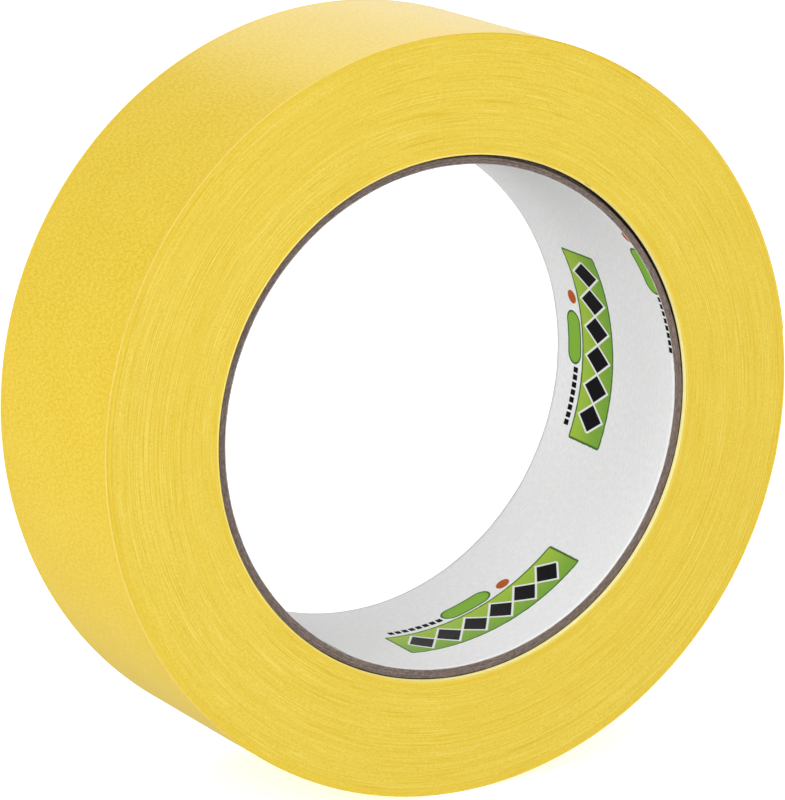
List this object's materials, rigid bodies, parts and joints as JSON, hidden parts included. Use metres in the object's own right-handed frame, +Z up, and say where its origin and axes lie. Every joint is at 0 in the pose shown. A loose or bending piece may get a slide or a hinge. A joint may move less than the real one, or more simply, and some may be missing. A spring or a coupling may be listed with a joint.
{
  "type": "masking tape roll",
  "caption": "Roll of yellow paper masking tape on a lined chipboard core, standing on its edge, with a loose end that peels off the roll.",
  "frame": {"origin": "centre of the core, on the roll's axis and halfway across the tape's width", "axes": "+Y along the roll's axis, away from the side face seen from the front; +Z up with the roll standing on its edge; +X to the right seen from the front, on the side where the loose end lies"},
  "size_m": [0.1149, 0.036, 0.1151],
  "materials": {
    "tape": "fine smooth creped masking paper, yellow, matt with a slight sheen",
    "tape_edge": "pale yellow cut edge of the tape's first turn",
    "core_board": "grey-brown chipboard, fibrous, matt",
    "core_liner": "smooth white printed paper"
  },
  "bodies": {
    "roll": {"core_liner": "core_liner", "core_inner_ply": "core_board", "core_middle_ply": "core_board", "core_outer_ply": "core_board", "first_turn": "tape_edge", "wound_tape": "tape"},
    "tape_end_1": {"tape_end_1": "tape"},
    "tape_end_2": {"tape_end_2": "tape"},
    "tape_end_3": {"tape_end_3": "tape"},
    "tape_end_4": {"tape_end_4": "tape"},
    "tape_end_5": {"tape_end_5": "tape"},
    "tape_end_6": {"tape_end_6": "tape"},
    "tape_end_7": {"tape_end_7": "tape"},
    "tape_end_8": {"tape_end_8": "tape"},
    "tape_end_9": {"tape_end_9": "tape"},
    "tape_end_10": {"tape_end_10": "tape"}
  },
  "joints": [
    {"name": "tape_end_peel", "type": "hinge", "parent": "roll", "child": "tape_end_1", "pos_m": [0.03096, 0, 0.0486], "axis": [0, -1, 0], "range_deg": [0, 120]},
    {"name": "tape_end_straighten_2", "type": "hinge", "parent": "tape_end_1", "child": "tape_end_2", "pos_m": [0.03508, 0, 0.04572], "axis": [0, -1, 0], "range_deg": [0, 5]},
    {"name": "tape_end_straighten_3", "type": "hinge", "parent": "tape_end_2", "child": "tape_end_3", "pos_m": [0.03894, 0, 0.04249], "axis": [0, -1, 0], "range_deg": [0, 5]},
    {"name": "tape_end_straighten_4", "type": "hinge", "parent": "tape_end_3", "child": "tape_end_4", "pos_m": [0.04249, 0, 0.03894], "axis": [0, -1, 0], "range_deg": [0, 5]},
    {"name": "tape_end_straighten_5", "type": "hinge", "parent": "tape_end_4", "child": "tape_end_5", "pos_m": [0.04573, 0, 0.03509], "axis": [0, -1, 0], "range_deg": [0, 5]},
    {"name": "tape_end_straighten_6", "type": "hinge", "parent": "tape_end_5", "child": "tape_end_6", "pos_m": [0.04861, 0, 0.03097], "axis": [0, -1, 0], "range_deg": [0, 5]},
    {"name": "tape_end_straighten_7", "type": "hinge", "parent": "tape_end_6", "child": "tape_end_7", "pos_m": [0.05113, 0, 0.02662], "axis": [0, -1, 0], "range_deg": [0, 5]},
    {"name": "tape_end_straighten_8", "type": "hinge", "parent": "tape_end_7", "child": "tape_end_8", "pos_m": [0.05326, 0, 0.02206], "axis": [0, -1, 0], "range_deg": [0, 5]},
    {"name": "tape_end_straighten_9", "type": "hinge", "parent": "tape_end_8", "child": "tape_end_9", "pos_m": [0.05498, 0, 0.01733], "axis": [0, -1, 0], "range_deg": [0, 5]},
    {"name": "tape_end_straighten_10", "type": "hinge", "parent": "tape_end_9", "child": "tape_end_10", "pos_m": [0.05628, 0, 0.01248], "axis": [0, -1, 0], "range_deg": [0, 5]}
  ],
  "couplings": [
    {"joint": "tape_end_straighten_2", "follows": "tape_end_peel", "ratio": 0.041666},
    {"joint": "tape_end_straighten_3", "follows": "tape_end_peel", "ratio": 0.041666},
    {"joint": "tape_end_straighten_4", "follows": "tape_end_peel", "ratio": 0.041666},
    {"joint": "tape_end_straighten_5", "follows": "tape_end_peel", "ratio": 0.041666},
    {"joint": "tape_end_straighten_6", "follows": "tape_end_peel", "ratio": 0.041666},
    {"joint": "tape_end_straighten_7", "follows": "tape_end_peel", "ratio": 0.041666},
    {"joint": "tape_end_straighten_8", "follows": "tape_end_peel", "ratio": 0.041666},
    {"joint": "tape_end_straighten_9", "follows": "tape_end_peel", "ratio": 0.041666},
    {"joint": "tape_end_straighten_10", "follows": "tape_end_peel", "ratio": 0.041666}
  ]
}
